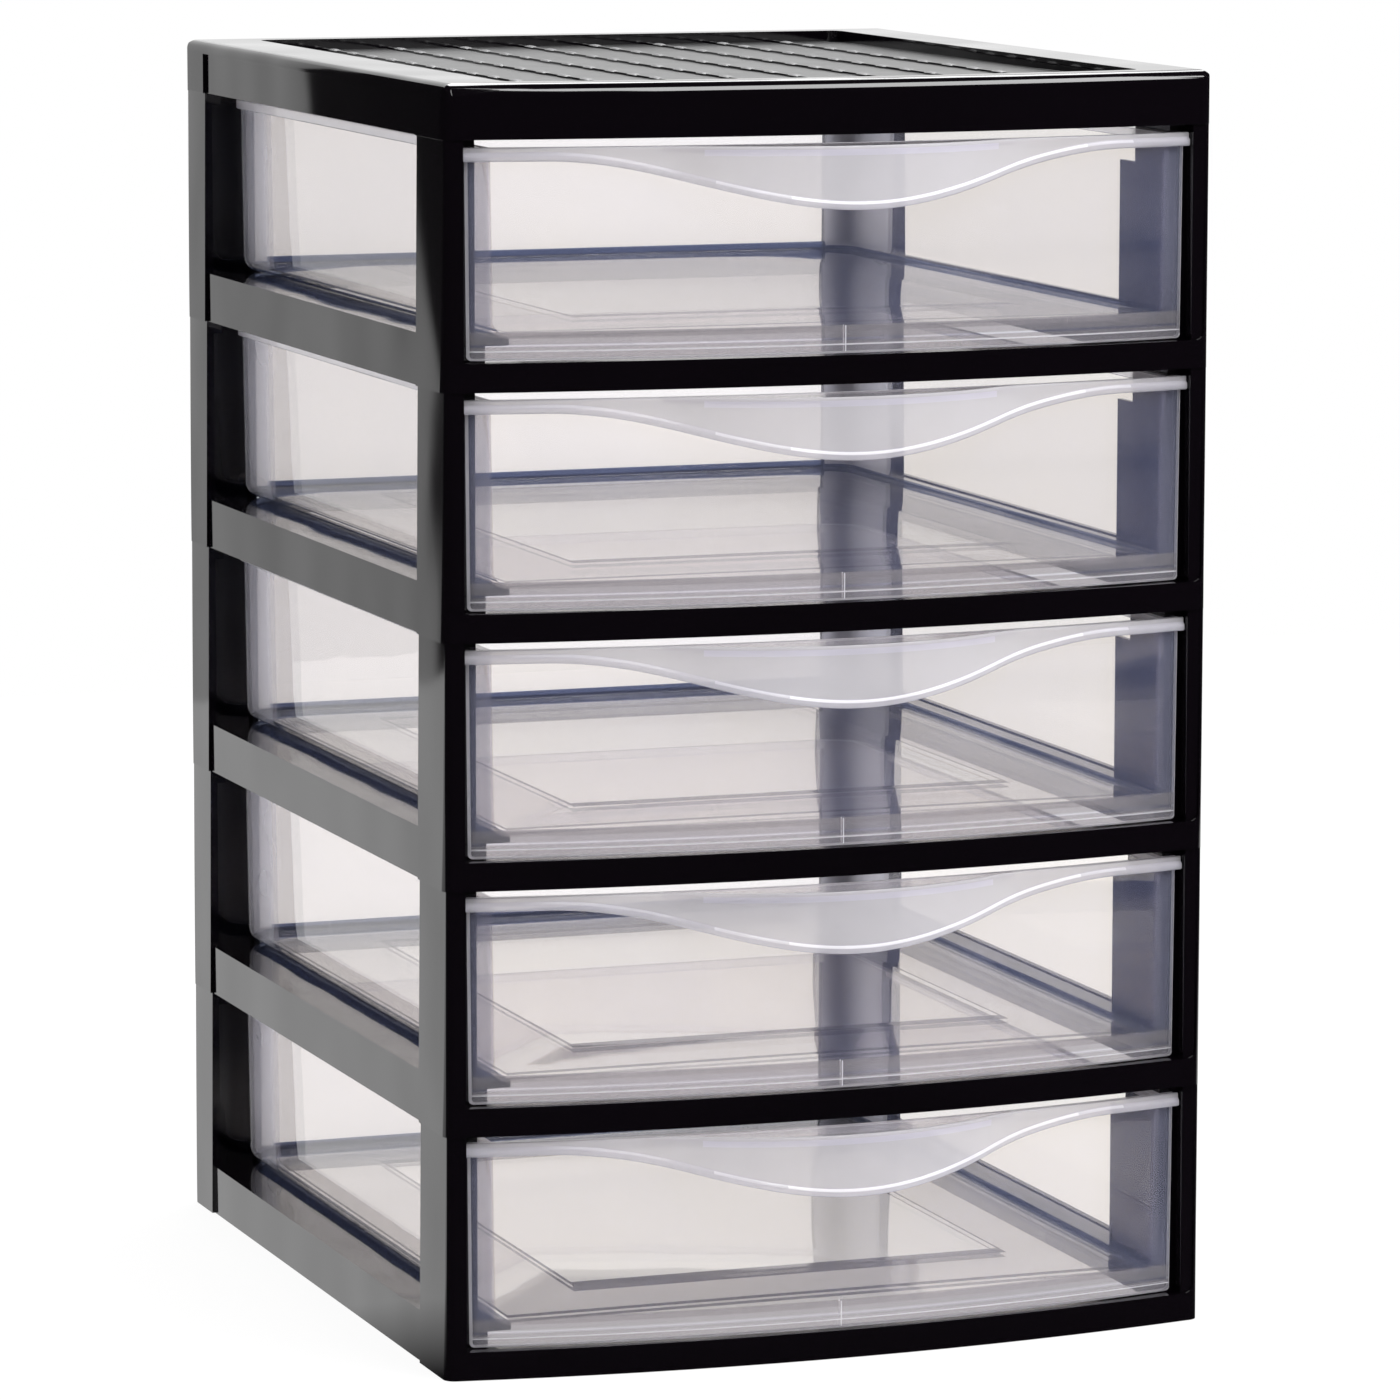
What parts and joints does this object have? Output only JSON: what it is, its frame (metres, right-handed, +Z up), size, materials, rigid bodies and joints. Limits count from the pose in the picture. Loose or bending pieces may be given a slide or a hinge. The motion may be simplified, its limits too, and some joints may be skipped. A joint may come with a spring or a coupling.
{
  "type": "plastic drawer tower",
  "caption": "Stacking drawer tower: black plastic frame modules under a recessed lid, holding clear sliding drawers whose bowed fronts carry a curved brim as the pull.",
  "frame": {"origin": "middle of the footprint (the bounding box in plan), on the surface the tower stands on", "axes": "+X to the tower's right seen from the front, +Y from the front to the back, +Z up"},
  "size_m": [0.298, 0.3608, 0.47],
  "materials": {
    "frame_black": "glossy black moulded plastic",
    "lid_black": "black moulded plastic with a satin recess",
    "drawer_clear": "clear moulded plastic with a faint lavender cast, frosted along the brim"
  },
  "bodies": {
    "tower": {"frame_1": "frame_black", "frame_2": "frame_black", "frame_3": "frame_black", "frame_4": "frame_black", "frame_5": "frame_black", "lid": "lid_black"},
    "drawer_1": {"drawer_1": "drawer_clear"},
    "drawer_2": {"drawer_2": "drawer_clear"},
    "drawer_3": {"drawer_3": "drawer_clear"},
    "drawer_4": {"drawer_4": "drawer_clear"},
    "drawer_5": {"drawer_5": "drawer_clear"}
  },
  "joints": [
    {"name": "drawer_1_slide", "type": "slide", "parent": "tower", "child": "drawer_1", "axis": [0, -1, 0], "range_m": [0, 0.24]},
    {"name": "drawer_2_slide", "type": "slide", "parent": "tower", "child": "drawer_2", "axis": [0, -1, 0], "range_m": [0, 0.24]},
    {"name": "drawer_3_slide", "type": "slide", "parent": "tower", "child": "drawer_3", "axis": [0, -1, 0], "range_m": [0, 0.24]},
    {"name": "drawer_4_slide", "type": "slide", "parent": "tower", "child": "drawer_4", "axis": [0, -1, 0], "range_m": [0, 0.24]},
    {"name": "drawer_5_slide", "type": "slide", "parent": "tower", "child": "drawer_5", "axis": [0, -1, 0], "range_m": [0, 0.24]}
  ]
}
